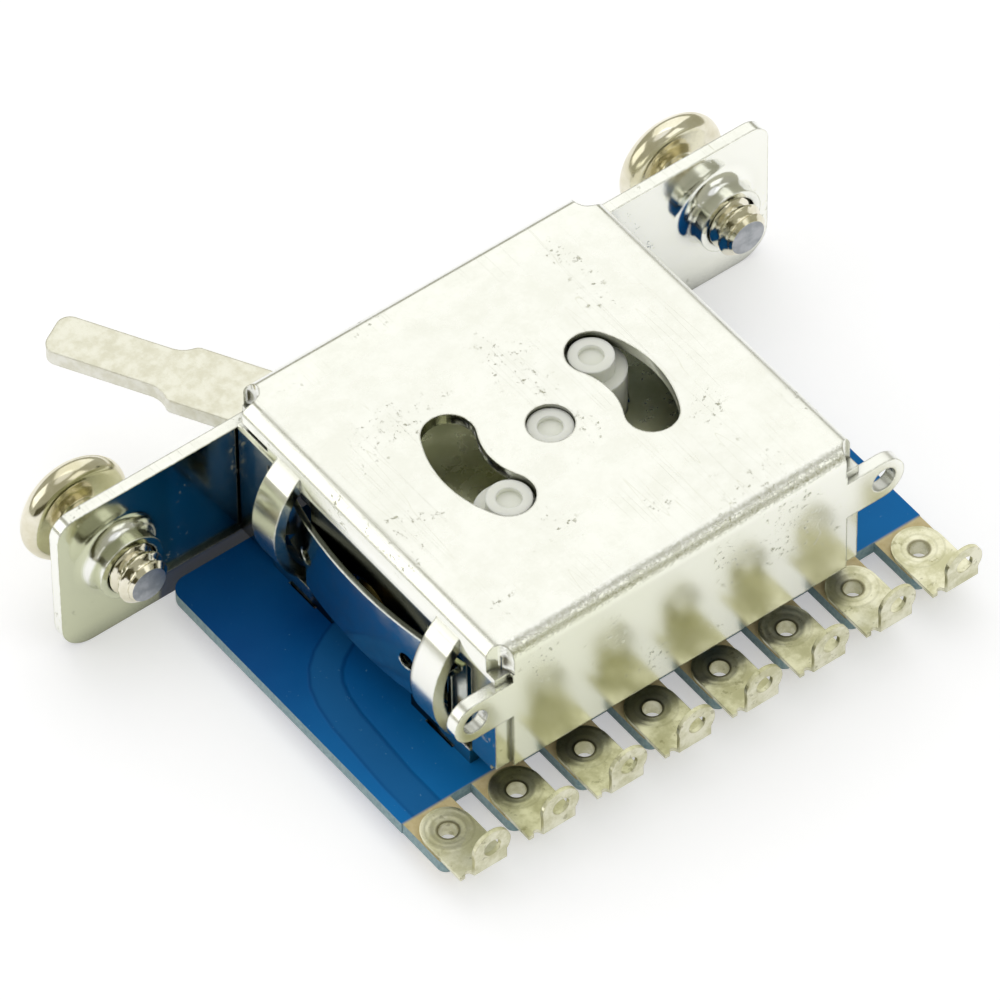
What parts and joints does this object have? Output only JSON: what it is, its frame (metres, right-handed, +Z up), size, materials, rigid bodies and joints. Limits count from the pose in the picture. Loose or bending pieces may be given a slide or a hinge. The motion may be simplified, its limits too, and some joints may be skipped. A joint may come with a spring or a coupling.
{
  "type": "guitar pickup selector switch",
  "caption": "Guitar pickup selector switch: folded steel case on a circuit board with a row of solder lugs, a swinging lever, a rotor with sprung detents, and a mounting plate.",
  "frame": {"origin": "centre of the mounting plate's outer face, midway between the two screws", "axes": "+Y out of the mounting face, the way the lever points; +X along the plate; +Z up, away from the circuit board"},
  "size_m": [0.049, 0.0421, 0.0129],
  "materials": {
    "plated_steel": "satin plated",
    "board": "gloss",
    "nickel": "satin",
    "nylon": "satin",
    "disc_steel": "satin",
    "lever_steel": "satin",
    "spring_bronze": "satin",
    "brass": "polished",
    "spring_steel": "polished",
    "screw_nickel": "polished"
  },
  "bodies": {
    "frame": {"housing": "plated_steel", "circuit_board": "board", "terminal_1": "nickel", "terminal_2": "nickel", "terminal_3": "nickel", "terminal_4": "nickel", "terminal_5": "nickel", "terminal_6": "nickel", "terminal_7": "nickel", "terminal_8": "nickel", "leaf_spring_left": "spring_steel", "leaf_spring_right": "spring_steel", "mounting_screw_left": "screw_nickel", "mounting_screw_right": "screw_nickel"},
    "rotor": {"carrier": "nylon", "detent_disc": "disc_steel", "spacer_ring": "nylon", "cover_plate": "disc_steel", "lever": "lever_steel", "wiper_left": "spring_bronze", "wiper_right": "spring_bronze"},
    "ball_left": {"detent_ball_left": "brass"},
    "ball_right": {"detent_ball_right": "brass"}
  },
  "joints": [
    {"name": "lever_pivot", "type": "hinge", "parent": "frame", "child": "rotor", "pos_m": [0, -0.0127, 0], "axis": [0, 0, 1], "range_deg": [-58, 0]},
    {"name": "ball_left_slide", "type": "slide", "parent": "frame", "child": "ball_left", "axis": [-1, 0, 0], "range_m": [-0.0003, 0], "stiffness_N_per_m": 400},
    {"name": "ball_right_slide", "type": "slide", "parent": "frame", "child": "ball_right", "axis": [1, 0, 0], "range_m": [-0.0003, 0], "stiffness_N_per_m": 400}
  ]
}
